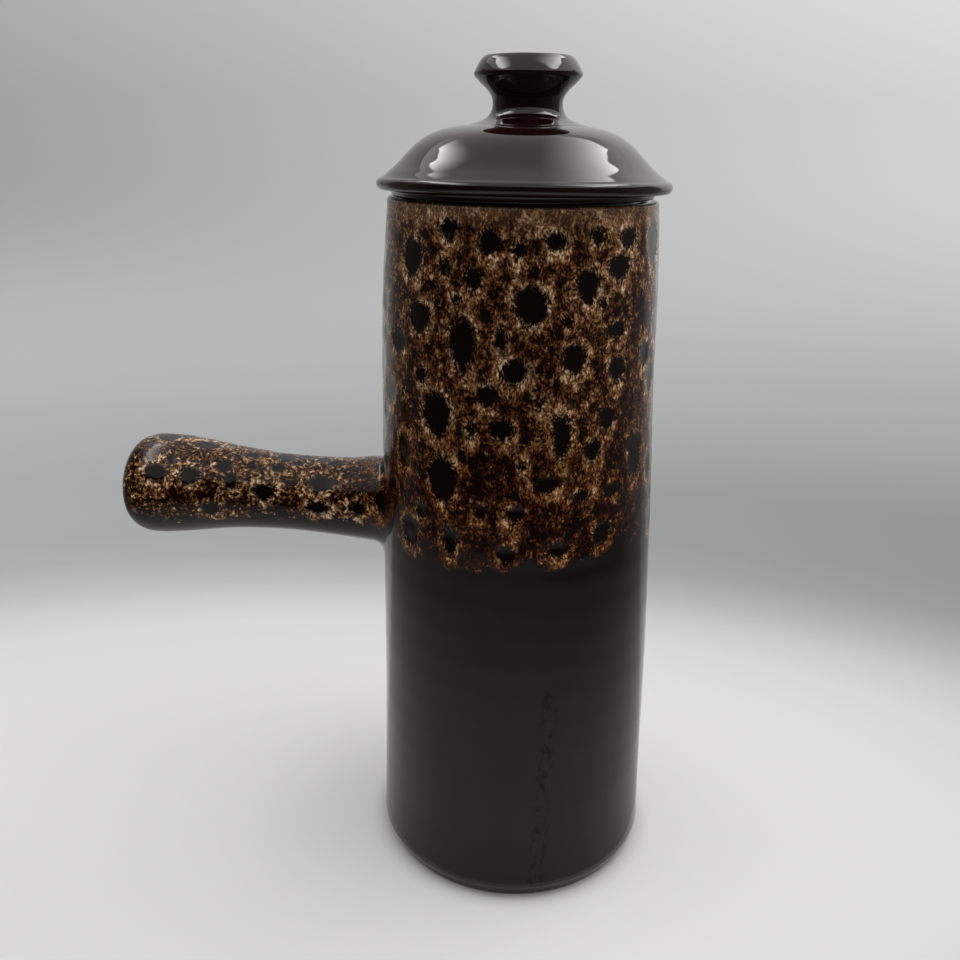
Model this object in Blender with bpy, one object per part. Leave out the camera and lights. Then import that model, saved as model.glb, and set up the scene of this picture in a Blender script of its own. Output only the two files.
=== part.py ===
"""A tall side-handled stoneware pot with a lift-off lid.

Run it with: blender --background --python part.py
Everything is in metres, +Z up. The origin is the centre of the flat foot, on the pot's axis.
The handle points along -X, the pouring spout along +Y.
"""

import math

import bmesh
import bpy
from mathutils import Matrix, Vector

MM = 0.001
GAP = 0.3 * MM  # between clay pieces that the glaze joins

# Pot body: an almost straight cylinder with a flat foot
BODY_HEIGHT = 244.4 * MM
FOOT_RADIUS = 50.4 * MM
LOWER_RADIUS = 49.8 * MM
UPPER_RADIUS = 48.8 * MM
RIM_RADIUS = 47.0 * MM
WALL = 4.6 * MM
RIM_WALL = 4.2 * MM
RIM_ROUND = 2.1 * MM
FLOOR = 8.0 * MM
FOOT_ROUND = 3.0 * MM
FLOOR_ROUND = 7.0 * MM
BODY_SEGMENTS = 48

# Side handle: a hollow stick, waisted in the middle, with a bulb at its end
HANDLE_END = 147.1 * MM
BULB_MIDDLE = 131.0 * MM  # where the bulb is thickest, from the pot's axis
BULB_SQUARENESS = 2.9  # a superellipse's exponent: 2 would be a plain oval end
HANDLE_HEIGHT = 131.0 * MM
HANDLE_LIFT = 4.2 * MM
HANDLE_ROOT_RADIUS = 15.9 * MM
HANDLE_WAIST_RADIUS = 14.2 * MM
HANDLE_BULB_RADIUS = 18.6 * MM
HANDLE_WALL = 4.5 * MM
HANDLE_SEGMENTS = 24
VENT_RADIUS = 1.6 * MM
VENT_FROM_AXIS = 63.0 * MM

# Pouring spout: a folded beak that stands on the wall below the rim
SPOUT_BOTTOM = 194.0 * MM
SPOUT_TOP = 243.2 * MM
SPOUT_REACH = 23.0 * MM
SPOUT_HALF_WIDTH = 19.0 * MM
SPOUT_WALL = 3.4 * MM
WINDOW_HALF_WIDTH = 9.0 * MM
WINDOW_HALF_HEIGHT = 10.0 * MM
WINDOW_HEIGHT = 225.0 * MM

# Lid: a domed cap that overhangs the rim, a ring below that centres it, and a knob on top
LID_SEAT = BODY_HEIGHT + GAP
LID_RADIUS = 51.4 * MM
LID_TOP = 268.6 * MM
SEAT_OUTER_RADIUS = 45.6 * MM
RING_OUTER_RADIUS = 41.6 * MM
RING_INNER_RADIUS = 37.8 * MM
RING_DEPTH = 9.5 * MM
LID_SEGMENTS = 48
RING_SEGMENTS = 40

KNOB_TOP = 291.3 * MM
KNOB_RADIUS = 18.5 * MM
KNOB_NECK_RADIUS = 12.0 * MM
KNOB_OFF_CENTRE = 1.1 * MM  # the knob was stuck on by hand, a little towards +X
KNOB_SEGMENTS = 32

GLAZE_DARK = (0.010, 0.008, 0.008)
GLAZE_SPECKLED = (0.16, 0.085, 0.045)
GLOSS = 0.12


def through(points, steps):
    """A smooth curve through the points: Catmull-Rom, with this many steps between each two."""
    knots = [Vector(p) for p in points]
    ends = [2 * knots[0] - knots[1], *knots, 2 * knots[-1] - knots[-2]]
    curve = []
    for before, start, end, after in zip(ends, ends[1:], ends[2:], ends[3:]):
        for i in range(steps):
            t = i / steps
            curve.append(
                0.5
                * (
                    2 * start
                    + (end - before) * t
                    + (2 * before - 5 * start + 4 * end - after) * t**2
                    + (3 * start - before - 3 * end + after) * t**3
                )
            )
    curve.append(knots[-1])
    return [tuple(p) for p in curve]


def arc(centre, radius, start, end, steps):
    """Points on an arc in the outline's plane, from the start angle to the end angle, in degrees."""
    angles = [math.radians(start + (end - start) * i / steps) for i in range(steps + 1)]
    return [(centre[0] + radius * math.cos(a), centre[1] + radius * math.sin(a)) for a in angles]


def clay(name, colour):
    """A glazed stoneware material."""
    material = bpy.data.materials.new(name)
    material.use_nodes = True
    shader = material.node_tree.nodes["Principled BSDF"]
    shader.inputs["Base Color"].default_value = (*colour, 1.0)
    shader.inputs["Roughness"].default_value = GLOSS
    shader.inputs["Metallic"].default_value = 0.0
    return material


def add_object(name, bm, material, smooth_below=40):
    """Links a finished bmesh as an object, with its normals facing out and its round faces smooth."""
    bmesh.ops.recalc_face_normals(bm, faces=bm.faces)
    mesh = bpy.data.meshes.new(name)
    bm.to_mesh(mesh)
    bm.free()
    mesh.shade_smooth()
    mesh.set_sharp_from_angle(angle=math.radians(smooth_below))
    obj = bpy.data.objects.new(name, mesh)
    bpy.context.scene.collection.objects.link(obj)
    if material:
        mesh.materials.append(material)
    return obj


def turned(name, outline, segments, material, closed=False):
    """A solid of revolution about Z from a (radius, height) outline.

    An open outline starts and ends on the axis; a closed one is a ring's cross-section.
    """
    bm = bmesh.new()
    verts = [bm.verts.new((radius, 0, height)) for radius, height in outline]
    pairs = list(zip(verts, verts[1:]))
    if closed:
        pairs.append((verts[-1], verts[0]))
    edges = [bm.edges.new(pair) for pair in pairs]
    bmesh.ops.spin(
        bm,
        geom=verts + edges,
        cent=(0, 0, 0),
        axis=(0, 0, 1),
        angle=math.tau,
        steps=segments,
    )
    bmesh.ops.remove_doubles(bm, verts=bm.verts, dist=1e-6)
    return add_object(name, bm, material)


def helper(obj):
    """A cutter: it is left out of the model and only shapes other objects."""
    obj.hide_render = True
    obj.display_type = "WIRE"
    return obj


def cut(obj, cutter):
    modifier = obj.modifiers.new("cut by " + cutter.name, "BOOLEAN")
    modifier.operation = "DIFFERENCE"
    modifier.object = cutter


def body_outer_wall():
    """The wall's outer side as (radius, height), from the rim's shoulder down to the foot's rounding."""
    return through(
        [
            (RIM_RADIUS, BODY_HEIGHT - 3.4 * MM),
            (RIM_RADIUS + 0.5 * MM, BODY_HEIGHT - 12 * MM),
            (UPPER_RADIUS - 0.3 * MM, BODY_HEIGHT * 0.86),
            (UPPER_RADIUS, BODY_HEIGHT * 0.72),
            (UPPER_RADIUS + 0.5 * MM, BODY_HEIGHT * 0.60),
            (LOWER_RADIUS - 0.1 * MM, BODY_HEIGHT * 0.40),
            (LOWER_RADIUS, BODY_HEIGHT * 0.16),
            (LOWER_RADIUS + 0.2 * MM, BODY_HEIGHT * 0.07),
            (FOOT_RADIUS, FOOT_ROUND),
        ],
        2,
    )


def outer_radius_at(height):
    """The body's outer radius at a height, read off its wall."""
    wall = body_outer_wall()
    for (upper_radius, upper), (lower_radius, lower) in zip(wall, wall[1:]):
        if lower <= height <= upper:
            share = (height - lower) / (upper - lower)
            return lower_radius + share * (upper_radius - lower_radius)
    return RIM_RADIUS if height > wall[0][1] else FOOT_RADIUS


def body_outline():
    """Half of the pot's section: foot, outer wall, rounded rim, inner wall and floor."""
    outer = body_outer_wall()
    rim_middle = RIM_RADIUS - RIM_WALL / 2
    rim = arc((rim_middle, BODY_HEIGHT - RIM_ROUND), RIM_ROUND, 20, 160, 6)
    inner_rim = RIM_RADIUS - RIM_WALL
    inner_foot = LOWER_RADIUS - WALL
    inner = through(
        [
            (inner_rim, BODY_HEIGHT - 4.0 * MM),
            (UPPER_RADIUS - WALL, BODY_HEIGHT * 0.84),
            (UPPER_RADIUS - WALL + 0.4 * MM, BODY_HEIGHT * 0.6),
            (inner_foot, BODY_HEIGHT * 0.3),
            (inner_foot, FLOOR + FLOOR_ROUND),
        ],
        2,
    )
    floor_corner = arc((inner_foot - FLOOR_ROUND, FLOOR + FLOOR_ROUND), FLOOR_ROUND, 0, -90, 4)
    foot_corner = arc((FOOT_RADIUS - FOOT_ROUND, FOOT_ROUND), FOOT_ROUND, -90, 0, 4)
    bottom = [(0, 0), *foot_corner[:-1]]
    return bottom + outer[::-1] + rim + inner + floor_corner[1:] + [(0, FLOOR)]


def body_clearance(name):
    """A cutter of the body's outer shape with the gap added, closed through the middle."""
    outer = [(radius + GAP, height) for radius, height in body_outer_wall()[::-1]]
    top = BODY_HEIGHT + 20 * MM
    outline = [(0, -10 * MM), (FOOT_RADIUS + GAP, -10 * MM), *outer, (outer[-1][0], top), (0, top)]
    return helper(turned(name, outline, BODY_SEGMENTS, None))


def oval_bar(name, half_width, half_height, centre, start, end, segments=20):
    """A cutter along Y with an oval cross-section."""
    bm = bmesh.new()
    shape = Matrix.Rotation(math.radians(90), 4, "X")
    bmesh.ops.create_cone(
        bm,
        cap_ends=True,
        segments=segments,
        radius1=1.0,
        radius2=1.0,
        depth=end - start,
        matrix=shape,
    )
    bmesh.ops.scale(bm, vec=(half_width, 1, half_height), verts=bm.verts)
    bmesh.ops.translate(bm, vec=(centre[0], (start + end) / 2, centre[1]), verts=bm.verts)
    return helper(add_object(name, bm, None))


def make_body(material):
    body = turned("pot_body", body_outline(), BODY_SEGMENTS, material)
    window = oval_bar(
        "spout_window_cutter",
        WINDOW_HALF_WIDTH,
        WINDOW_HALF_HEIGHT,
        (0, WINDOW_HEIGHT),
        30 * MM,
        60 * MM,
    )
    cut(body, window)
    return body


def handle_profile():
    """The stick's outer side as (distance from the pot's axis, radius), root first."""
    grip = through(
        [
            (40 * MM, HANDLE_ROOT_RADIUS + 0.6 * MM),
            (53 * MM, HANDLE_ROOT_RADIUS),
            (66 * MM, HANDLE_WAIST_RADIUS + 0.6 * MM),
            (84 * MM, HANDLE_WAIST_RADIUS),
            (104 * MM, HANDLE_WAIST_RADIUS + 1.3 * MM),
            (121 * MM, HANDLE_BULB_RADIUS - 0.9 * MM),
            (BULB_MIDDLE, HANDLE_BULB_RADIUS),
        ],
        3,
    )
    depth = HANDLE_END - BULB_MIDDLE
    power = 2 / BULB_SQUARENESS
    steps = 9
    end = []
    for i in range(1, steps):
        turn = math.radians(90 * i / steps)
        along = BULB_MIDDLE + depth * math.sin(turn) ** power
        end.append((along, HANDLE_BULB_RADIUS * math.cos(turn) ** power))
    return [*grip, *end, (HANDLE_END, 0)]


def handle_lift(distance):
    """How far the stick's centre line has risen at a distance from the pot's axis."""
    share = min(max((distance - UPPER_RADIUS) / (BULB_MIDDLE - UPPER_RADIUS), 0), 1)
    return HANDLE_LIFT * share * share * (3 - 2 * share)


def stick(name, profile, material):
    """A solid of revolution along -X, lifted to the handle's centre line."""
    bm = bmesh.new()
    verts = [bm.verts.new((-distance, 0, radius)) for distance, radius in profile]
    edges = [bm.edges.new(pair) for pair in zip(verts, verts[1:])]
    bmesh.ops.spin(
        bm,
        geom=verts + edges,
        cent=(0, 0, 0),
        axis=(1, 0, 0),
        angle=math.tau,
        steps=HANDLE_SEGMENTS,
    )
    bmesh.ops.remove_doubles(bm, verts=bm.verts, dist=1e-6)
    for vert in bm.verts:
        vert.co.z += HANDLE_HEIGHT + handle_lift(-vert.co.x)
    return add_object(name, bm, material)


def make_handle(material, body_cutter):
    """The hollow stick. Its root is cut to the body's wall, and a vent below lets its air out."""
    outer = handle_profile()
    root = outer[0][0]
    handle = stick("side_handle", [(root, 0), *outer], material)
    deepest = HANDLE_END - 2.2 * HANDLE_WALL
    inner = [(d, r - HANDLE_WALL) for d, r in outer if d < deepest and r > 2 * HANDLE_WALL]
    hollow = [(root - 5 * MM, 0), (root - 5 * MM, inner[0][1]), *inner, (deepest, 0)]
    cavity = helper(stick("handle_cavity_cutter", hollow, None))
    place = Matrix.Translation((-VENT_FROM_AXIS, 0, HANDLE_HEIGHT - HANDLE_WAIST_RADIUS))
    place @= Matrix.Rotation(math.radians(15), 4, "Z")  # no edge of the vent lies on the stick's own
    vent_bm = bmesh.new()
    bmesh.ops.create_cone(
        vent_bm,
        cap_ends=True,
        segments=12,
        radius1=VENT_RADIUS,
        radius2=VENT_RADIUS,
        depth=3 * HANDLE_WALL,
        matrix=place,
    )
    vent = helper(add_object("handle_vent_cutter", vent_bm, None))
    cut(handle, cavity)
    cut(handle, vent)
    cut(handle, body_cutter)
    return handle


def beak(name, bottom, reach, half_width, rise, material):
    """The spout's folded shape: a V that opens upwards, rooted in the wall on its +Y side.

    Its top end is raised by rise, so that a cutter passes out of the piece it hollows.
    """
    levels, side_points = 9, 12
    root = UPPER_RADIUS - 9 * MM
    bm = bmesh.new()
    rings = []
    for level in range(levels + 1):
        share = level / levels
        height = bottom + (SPOUT_TOP - bottom) * share
        wall = outer_radius_at(min(height, BODY_HEIGHT))
        out = reach * share**1.15
        wide = half_width * (0.16 + 0.84 * share**0.9)
        ring = [bm.verts.new((wide, root, height))]
        for i in range(side_points + 1):
            across = 1 - 2 * i / side_points
            fold = 1 - abs(across) ** 1.5
            side = wall * math.cos(math.asin(wide * across / wall))
            ring.append(bm.verts.new((wide * across, side - 1.5 * MM + (out + 1.5 * MM) * fold, height)))
        ring.append(bm.verts.new((-wide, root, height)))
        rings.append(ring)
    for low, high in zip(rings, rings[1:]):
        count = len(low)
        for i in range(count):
            j = (i + 1) % count
            bm.faces.new((low[i], low[j], high[j], high[i]))
    bm.faces.new(rings[0][::-1])
    bm.faces.new(rings[-1])
    for vert in rings[-1]:
        vert.co.z += rise
    return add_object(name, bm, material)


def make_spout(material, body_cutter):
    """The beak, hollowed to an open gutter and cut to the body's wall."""
    spout = beak("pouring_spout", SPOUT_BOTTOM, SPOUT_REACH, SPOUT_HALF_WIDTH, 0, material)
    gutter = helper(
        beak(
            "spout_gutter_cutter",
            SPOUT_BOTTOM + 2 * SPOUT_WALL,
            SPOUT_REACH - SPOUT_WALL * 1.15,
            SPOUT_HALF_WIDTH - SPOUT_WALL,
            10 * MM,
            None,
        )
    )
    cut(spout, gutter)
    cut(spout, body_cutter)
    return spout


def lid_outer():
    """The lid's top side as (radius, height): flat crown, round shoulder, then an ogee out to the lip."""
    return through(
        [
            (21.0 * MM, LID_TOP),
            (25.5 * MM, LID_TOP - 0.6 * MM),
            (32.0 * MM, LID_TOP - 3.1 * MM),
            (37.6 * MM, LID_TOP - 7.0 * MM),
            (42.6 * MM, LID_TOP - 12.2 * MM),
            (46.6 * MM, LID_TOP - 15.9 * MM),
            (49.7 * MM, LID_TOP - 18.3 * MM),
            (LID_RADIUS, LID_TOP - 20.3 * MM),
        ],
        2,
    )


def make_lid(material):
    """The domed cap. Its seat stands below the lip, so that a shadow gap shows above the rim."""
    lip_bottom = LID_TOP - 22.0 * MM
    lip = [(LID_RADIUS - 0.5 * MM, LID_TOP - 21.4 * MM), (LID_RADIUS - 1.8 * MM, lip_bottom)]
    seat = [
        (SEAT_OUTER_RADIUS + 1.0 * MM, lip_bottom + 0.2 * MM),
        (SEAT_OUTER_RADIUS, lip_bottom - 0.6 * MM),
        (SEAT_OUTER_RADIUS - 0.2 * MM, LID_SEAT),
        (RING_INNER_RADIUS, LID_SEAT),
    ]
    inside = through(
        [
            (RING_INNER_RADIUS - 0.4 * MM, LID_SEAT + 4 * MM),
            (34.5 * MM, LID_TOP - 11.8 * MM),
            (29.0 * MM, LID_TOP - 7.4 * MM),
            (20.0 * MM, LID_TOP - 5.0 * MM),
        ],
        2,
    )
    outline = [(0, LID_TOP), *lid_outer(), *lip, *seat, *inside, (0, LID_TOP - 4.6 * MM)]
    return turned("lid_dome", outline, LID_SEGMENTS, material)


def make_ring(material):
    """The ring below the lid that keeps it in the pot's mouth."""
    top = LID_SEAT - GAP
    bottom = top - RING_DEPTH
    outline = [
        (RING_INNER_RADIUS, top),
        (RING_OUTER_RADIUS, top),
        (RING_OUTER_RADIUS - 0.3 * MM, bottom + 1.4 * MM),
        (RING_OUTER_RADIUS - 1.3 * MM, bottom),
        (RING_INNER_RADIUS + 1.0 * MM, bottom),
        (RING_INNER_RADIUS, bottom + 1.2 * MM),
    ]
    return turned("lid_locating_ring", outline, RING_SEGMENTS, material, closed=True)


def make_knob(material):
    """The flared knob: a foot that spreads on the lid, a narrow neck and a dished top."""
    base = LID_TOP + GAP
    side = through(
        [
            (18.2 * MM, base + 0.2 * MM),
            (14.2 * MM, base + 1.9 * MM),
            (KNOB_NECK_RADIUS + 0.3 * MM, base + 4.6 * MM),
            (KNOB_NECK_RADIUS, base + 7.0 * MM),
            (KNOB_NECK_RADIUS + 0.8 * MM, base + 9.9 * MM),
            (KNOB_RADIUS - 2.8 * MM, base + 12.6 * MM),
            (KNOB_RADIUS - 0.5 * MM, base + 15.1 * MM),
            (KNOB_RADIUS, base + 16.3 * MM),
            (KNOB_RADIUS - 0.4 * MM, base + 17.6 * MM),
            (KNOB_RADIUS - 2.5 * MM, base + 21.2 * MM),
            (KNOB_RADIUS - 3.6 * MM, KNOB_TOP - 0.1 * MM),
            (KNOB_RADIUS - 5.4 * MM, KNOB_TOP),
        ],
        2,
    )
    dish = [(KNOB_RADIUS - 8.0 * MM, KNOB_TOP - 0.4 * MM), (5.0 * MM, KNOB_TOP - 1.7 * MM)]
    outline = [(0, base), (18.0 * MM, base), *side, *dish, (0, KNOB_TOP - 2.0 * MM)]
    knob = turned("lid_knob", outline, KNOB_SEGMENTS, material)
    knob.location.x = KNOB_OFF_CENTRE
    return knob


def main():
    for obj in list(bpy.data.objects):
        bpy.data.objects.remove(obj)
    speckled = clay("speckled_glaze", GLAZE_SPECKLED)
    dark = clay("dark_glaze", GLAZE_DARK)
    body_cutter = body_clearance("body_clearance_cutter")
    make_body(speckled)
    make_handle(speckled, body_cutter)
    make_spout(speckled, body_cutter)
    make_lid(dark)
    make_ring(dark)
    make_knob(dark)


main()
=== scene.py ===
"""The looks of a tall side-handled stoneware pot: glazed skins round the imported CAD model.

The pot was dipped upside down in a speckled glaze that broke into dark spots, over a dark glaze.
Lengths are in millimetres up to the floor and the lights, which are in metres.
"""

import math
import random
from types import SimpleNamespace

import bpy
import numpy as np
from mathutils import Matrix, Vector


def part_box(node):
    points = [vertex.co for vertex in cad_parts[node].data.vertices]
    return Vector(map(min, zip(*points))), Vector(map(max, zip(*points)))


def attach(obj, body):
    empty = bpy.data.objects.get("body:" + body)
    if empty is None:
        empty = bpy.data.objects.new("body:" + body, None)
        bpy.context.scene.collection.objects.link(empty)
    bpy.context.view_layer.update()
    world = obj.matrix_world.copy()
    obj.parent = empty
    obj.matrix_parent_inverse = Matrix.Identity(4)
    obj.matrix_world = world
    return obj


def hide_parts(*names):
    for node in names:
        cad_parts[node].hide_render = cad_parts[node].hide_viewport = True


MM = 0.001

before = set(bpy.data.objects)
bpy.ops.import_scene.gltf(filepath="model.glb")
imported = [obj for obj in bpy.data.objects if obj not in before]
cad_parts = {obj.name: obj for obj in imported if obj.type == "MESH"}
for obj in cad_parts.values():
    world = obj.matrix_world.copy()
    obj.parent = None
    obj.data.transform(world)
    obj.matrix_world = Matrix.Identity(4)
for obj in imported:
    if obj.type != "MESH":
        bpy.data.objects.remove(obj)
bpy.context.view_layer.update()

# ---- sizes, read off the frame


def node_box(node):
    """The node's lowest and highest corner, in millimetres."""
    low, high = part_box(node)
    return low / MM, high / MM


_, BODY_HIGH = node_box("pot_body")
HANDLE_LOW, _ = node_box("side_handle")
SPOUT_LOW, SPOUT_HIGH = node_box("pouring_spout")
LID_LOW, LID_HIGH = node_box("lid_dome")
KNOB_LOW, KNOB_HIGH = node_box("lid_knob")
RING_LOW, RING_HIGH = node_box("lid_locating_ring")

RIM = BODY_HIGH.z
FOOT_RADIUS = BODY_HIGH.x
FOOT_BEVEL = 3.0
FOOT_EDGE = 4.4
RIM_RADIUS = 47.0
RIM_CORNER = 1.25
INNER_RIM_RADIUS = 42.8
INNER_FOOT_RADIUS = FOOT_RADIUS - 5.5
FLOOR = 8.0
FLOOR_ROUND = 7.0

CLEARANCE = 0.3  # kept inside the CAD handle's end
HANDLE_END = -HANDLE_LOW.x - CLEARANCE
HANDLE_HEIGHT = 131.0
HANDLE_LIFT = 4.2
BULB = 131.0
BULB_SQUARENESS = 2.9

DIP_LINE = 126.8
GLAZE_THICKNESS = 0.07
DIMPLE_DEPTH = 0.24
RIM_BAND = 7.0
SPECKLED_FROM = 112.0  # the skin is finer above this height, to carry the dimples

WINDOW_HALF_WIDTH = 9.0
WINDOW_HALF_HEIGHT = 10.0
WINDOW_HEIGHT = 225.0
WINDOW_CUT = (36.0, 60.0)
VENT_RADIUS = 1.6
VENT_FROM_AXIS = 63.0
VENT_CUT = (112.0, 121.5)

# ---- curves and meshes


def through(points, spacing):
    """A smooth curve through the points (Catmull-Rom), sampled about every spacing."""
    knots = [np.array(p, float) for p in points]
    ends = [2 * knots[0] - knots[1], *knots, 2 * knots[-1] - knots[-2]]
    curve = []
    for before, start, end, after in zip(ends, ends[1:], ends[2:], ends[3:]):
        steps = max(1, round(float(np.linalg.norm(end - start)) / spacing))
        for t in np.arange(steps) / steps:
            slope = (end - before) * t
            bend = (2 * before - 5 * start + 4 * end - after) * t**2
            twist = (3 * start - before - 3 * end + after) * t**3
            curve.append(0.5 * (2 * start + slope + bend + twist))
    curve.append(knots[-1])
    return [tuple(p) for p in curve]


def arc(centre, radius, start, end, steps):
    """Points on an arc from the start angle to the end angle, in degrees."""
    angles = np.radians(np.linspace(start, end, steps + 1))
    return [(centre[0] + radius * math.cos(a), centre[1] + radius * math.sin(a)) for a in angles]


def smoothstep(low, high, value):
    """0 up to low, 1 from high on, and a smooth change between. low may be above high."""
    share = np.clip((value - low) / (high - low), 0, 1)
    return share * share * (3 - 2 * share)


def add_mesh(name, verts, faces):
    mesh = bpy.data.meshes.new(name)
    mesh.from_pydata(verts, [], faces)
    obj = bpy.data.objects.new(name, mesh)
    bpy.context.scene.collection.objects.link(obj)
    return obj


def rings_to_mesh(name, rings, closed=False):
    """A mesh through rings of points. A ring of one point is a pole. closed joins the last to the first."""
    verts = np.concatenate([np.asarray(ring, float).reshape(-1, 3) for ring in rings])
    starts = np.cumsum([0] + [len(ring) for ring in rings])
    spans = [(start, len(ring)) for start, ring in zip(starts, rings)]
    pairs = list(zip(spans, spans[1:]))
    if closed:
        pairs.append((spans[-1], spans[0]))
    faces = []
    for (low, low_count), (high, high_count) in pairs:
        for i in range(max(low_count, high_count)):
            j = i + 1
            below = (low + i % low_count, low + j % low_count)
            above = (high + j % high_count, high + i % high_count)
            faces.append(tuple(dict.fromkeys(below + above)))  # at a pole two corners fall together
    obj = add_mesh(name, (verts * MM).tolist(), faces)
    obj.data.update()
    obj.data.shade_smooth()
    return obj


def turned_rings(outline, segments, centre=(0.0, 0.0)):
    """Rings about a vertical axis from a (radius, height) outline."""
    turn = np.linspace(0, math.tau, segments, endpoint=False)
    circle = np.stack([np.cos(turn), np.sin(turn)], 1)
    rings = []
    for radius, height in outline:
        if radius == 0:
            rings.append(np.array([[*centre, height]]))
        else:
            rings.append(np.column_stack([circle * radius + centre, np.full(segments, height)]))
    return rings


def vectors(rows, name):
    values = np.empty(len(rows) * 3, np.float32)
    rows.foreach_get(name, values)
    return values.reshape(-1, 3).astype(float)


def points_of(obj):
    """The mesh's points, in millimetres."""
    return vectors(obj.data.vertices, "co") / MM


def polar(points):
    """Each point's angle round the pot's axis and its distance from it."""
    return np.arctan2(points[:, 1], points[:, 0]), np.hypot(points[:, 0], points[:, 1])


def move_points(obj, points):
    obj.data.vertices.foreach_set("co", (points * MM).astype(np.float32).ravel())
    obj.data.update()


def store(obj, name, values):
    """Keeps one number per point for the material to read."""
    attribute = obj.data.attributes.new(name, "FLOAT", "POINT")
    attribute.data.foreach_set("value", np.asarray(values, np.float32))


# ---- the thrown body

WALL_TOP = RIM - 3.4
WALL_KNOTS = [
    (FOOT_RADIUS, FOOT_EDGE + 1.6), (FOOT_RADIUS - 0.35, RIM * 0.07),
    (FOOT_RADIUS - 0.6, RIM * 0.16), (FOOT_RADIUS - 0.7, RIM * 0.40), (49.2, RIM * 0.60),
    (48.7, RIM * 0.72), (48.4, RIM * 0.86), (47.5, RIM - 12), (RIM_RADIUS, WALL_TOP),
]
WALL_CURVE = np.array(through(WALL_KNOTS, 1.0))


def wall_radius(height):
    """The turned wall's outer radius, before its throwing marks."""
    return np.interp(height, WALL_CURVE[:, 1], WALL_CURVE[:, 0])


def throwing_marks(angle, height):
    """How far the hand-thrown wall strays from a true cylinder: an oval, a lean and faint spiral ridges."""
    oval = 0.16 * np.cos(2 * angle + 0.6) * smoothstep(0, 60, height)
    spiral = angle + math.tau * height / 10.5
    ridges = 0.018 * np.sin(spiral) + 0.014 * np.sin(0.43 * spiral + 1.1 + 0.8 * np.sin(angle))
    bow = -0.65 * np.exp(-(((height - 188) / 42) ** 2)) + 0.4 * np.exp(-(((height - 70) / 40) ** 2))
    fade = smoothstep(2, 16, height) * smoothstep(RIM, RIM - 9, height)
    return (oval + ridges) * fade + bow * np.cos(angle) * smoothstep(RIM + 6, RIM - 30, height)


def dip_height(angle):
    """The height of the dipped glaze's lower edge round the pot."""
    return DIP_LINE + 2.6 * np.cos(2 * angle + 1.4) + 0.9 * np.sin(7 * angle + 0.5)


def lay_wall(points):
    """Moves points of a true turned wall to the hand-thrown surface, and lets the rim dip on one side."""
    angle, radius = polar(points)
    share = smoothstep(30, 42, radius)
    shifted = radius + throwing_marks(angle, points[:, 2]) * share
    droop = 0.35 * (1 + np.cos(angle)) * smoothstep(RIM - 25, RIM, points[:, 2])
    return np.column_stack([shifted * np.cos(angle), shifted * np.sin(angle), points[:, 2] - droop])


def wall_depth(aside, z, angle_at):
    """How deep the body's outer surface lies beside the axis. angle_at turns a depth into an angle."""
    depth = np.sqrt(wall_radius(z) ** 2 - aside**2)
    for _ in range(3):
        depth = np.sqrt((wall_radius(z) + throwing_marks(angle_at(depth), z)) ** 2 - aside**2)
    return depth


def wall_x(y, z):
    """Where the body's outer surface lies on its -X side, at y and z."""
    return -wall_depth(y, z, lambda depth: np.arctan2(y, -depth))


def wall_y(x, z):
    """Where the body's outer surface lies on its +Y side, at x and z."""
    return wall_depth(x, z, lambda depth: np.arctan2(depth, x))


def body_outline():
    """Half of the pot's section, from the middle of the foot round the rim to the middle of the floor."""
    flat_radius = FOOT_RADIUS - FOOT_BEVEL
    foot = [
        (flat_radius, 0.0), (flat_radius + 0.45, 0.1), (flat_radius + 0.75, 0.45),
        (FOOT_RADIUS - 1.6, 1.9), (FOOT_RADIUS - 0.75, FOOT_EDGE - 0.5),
        (FOOT_RADIUS - 0.4, FOOT_EDGE), (FOOT_RADIUS - 0.15, FOOT_EDGE + 0.5),
        WALL_KNOTS[0],
    ]
    low = [(wall_radius(z), z) for z in np.arange(FOOT_EDGE + 3.4, SPECKLED_FROM, 2.4)]
    speckled = [(wall_radius(z), z) for z in np.arange(SPECKLED_FROM, WALL_TOP, 1.0)]
    rim = arc((RIM_RADIUS - RIM_CORNER, RIM - RIM_CORNER), RIM_CORNER, 5, 88, 8)
    rim += arc((INNER_RIM_RADIUS + RIM_CORNER, RIM - RIM_CORNER), RIM_CORNER, 92, 172, 7)
    inner_knots = [
        (INNER_RIM_RADIUS, RIM - 4), (43.8, RIM * 0.84), (44.2, RIM * 0.6),
        (INNER_FOOT_RADIUS, RIM * 0.3), (INNER_FOOT_RADIUS, FLOOR + FLOOR_ROUND),
    ]
    inner = through(inner_knots, 3.0)
    corner = arc((INNER_FOOT_RADIUS - FLOOR_ROUND, FLOOR + FLOOR_ROUND), FLOOR_ROUND, 0, -90, 8)
    floor = [(radius, FLOOR) for radius in (28.0, 18.0, 8.0)]
    flat = [(radius, 0.0) for radius in (14.0, 30.0, 42.0)]
    return [(0, 0), *flat, *foot, *low, *speckled, *rim, *inner, *corner[1:], *floor, (0, FLOOR)]


def cut_hole(obj, hole):
    """Cuts a closed mesh out of a skin and throws the cutter away."""
    modifier = obj.modifiers.new("hole", "BOOLEAN")
    modifier.operation = "DIFFERENCE"
    modifier.object = hole
    bpy.context.view_layer.update()
    cut = bpy.data.meshes.new_from_object(obj.evaluated_get(bpy.context.evaluated_depsgraph_get()))
    obj.modifiers.clear()
    obj.data = cut
    cut.shade_smooth()
    bpy.data.objects.remove(hole)


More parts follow.
